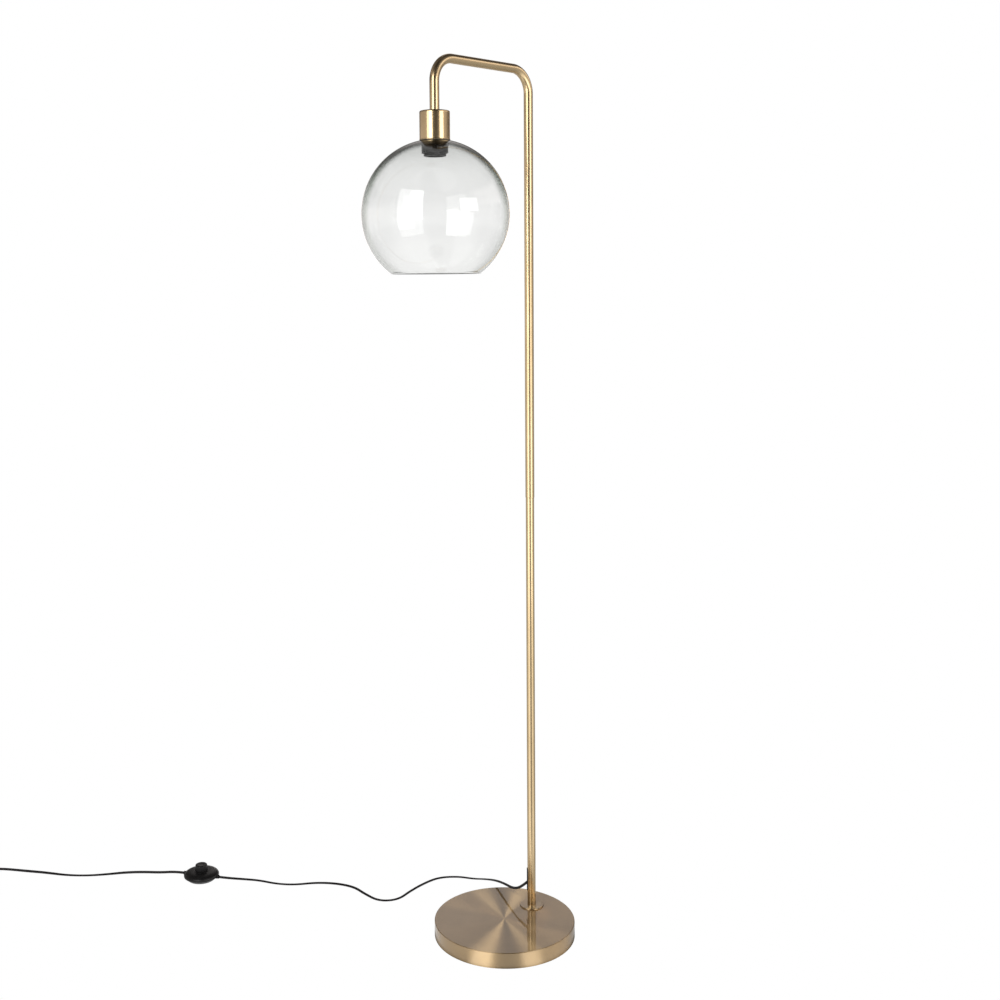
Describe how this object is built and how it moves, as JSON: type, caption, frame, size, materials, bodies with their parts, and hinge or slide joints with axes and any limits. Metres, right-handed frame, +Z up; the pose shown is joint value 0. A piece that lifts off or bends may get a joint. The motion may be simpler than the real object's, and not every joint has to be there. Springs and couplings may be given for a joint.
{
  "type": "floor lamp",
  "caption": "Brushed brass floor lamp with a round weighted base, a bent-over arm, an open smoked glass globe and a foot switch on its cord.",
  "frame": {"origin": "centre of the round base's underside, on the floor", "axes": "+Z up, +X from the base's centre towards the pole; the arm reaches back over the base towards -X, and the cord leaves towards +Y"},
  "size_m": [0.7316, 1.1254, 1.538],
  "materials": {
    "brushed_brass": "brushed, antique brass under clear lacquer",
    "plain_brass": "plain turned brass",
    "zinc_steel": "zinc plated steel",
    "spring_steel": "bright spring wire",
    "cast_weight": "raw casting",
    "felt": "black felt",
    "smoked_glass": "smoke grey, polished, clearer towards the mouth",
    "black_plastic": "black, satin",
    "porcelain": "glazed porcelain",
    "black_rubber": "soft black",
    "cord_jacket": "black flat twin cord, satin"
  },
  "bodies": {
    "lamp": {"base_cover": "brushed_brass", "pole_flange": "brushed_brass", "lower_pole": "brushed_brass", "upper_pole": "brushed_brass", "socket_cup": "brushed_brass", "pole_foot_insert": "plain_brass", "lower_pole_insert": "plain_brass", "upper_pole_insert": "plain_brass", "arm_end_insert": "plain_brass", "screw_shell": "plain_brass", "centre_contact": "plain_brass", "holder_terminals": "plain_brass", "fixed_contacts": "plain_brass", "switch_terminals": "plain_brass", "plug_pins": "plain_brass", "base_bolt": "zinc_steel", "base_lock_washer": "zinc_steel", "base_washer": "zinc_steel", "joint_nipple": "zinc_steel", "head_nipple": "zinc_steel", "cup_lock_washer": "zinc_steel", "cup_nut": "zinc_steel", "holder_terminal_screws": "zinc_steel", "switch_terminal_screws": "zinc_steel", "switch_housing_screws": "zinc_steel", "switch_spring": "spring_steel", "base_weight": "cast_weight", "base_pad": "felt", "glass_globe": "smoked_glass", "shade_ring": "black_plastic", "slot_grommet": "black_plastic", "holder_cap": "black_plastic", "holder_body": "black_plastic", "switch_lower_housing": "black_plastic", "switch_upper_housing": "black_plastic", "contact_carrier": "black_plastic", "plug_body": "black_plastic", "holder_core": "porcelain", "lower_gasket": "black_rubber", "upper_gasket": "black_rubber", "switch_cord_bushes": "black_rubber", "plug_relief": "black_rubber", "inner_cable": "cord_jacket", "cord_to_switch": "cord_jacket", "cord_run_out": "cord_jacket", "cord_coil": "cord_jacket", "switch_inner_leads": "cord_jacket", "plug_lead": "cord_jacket"},
    "foot_button": {"switch_button": "black_plastic", "switch_plunger": "black_plastic", "contact_bridge": "plain_brass"}
  },
  "joints": [
    {"name": "button_press", "type": "slide", "parent": "lamp", "child": "foot_button", "axis": [0, 0, -1], "range_m": [0, 0.0035], "stiffness_N_per_m": 700, "springref_m": -0.004, "deforming": ["switch_spring"]}
  ]
}
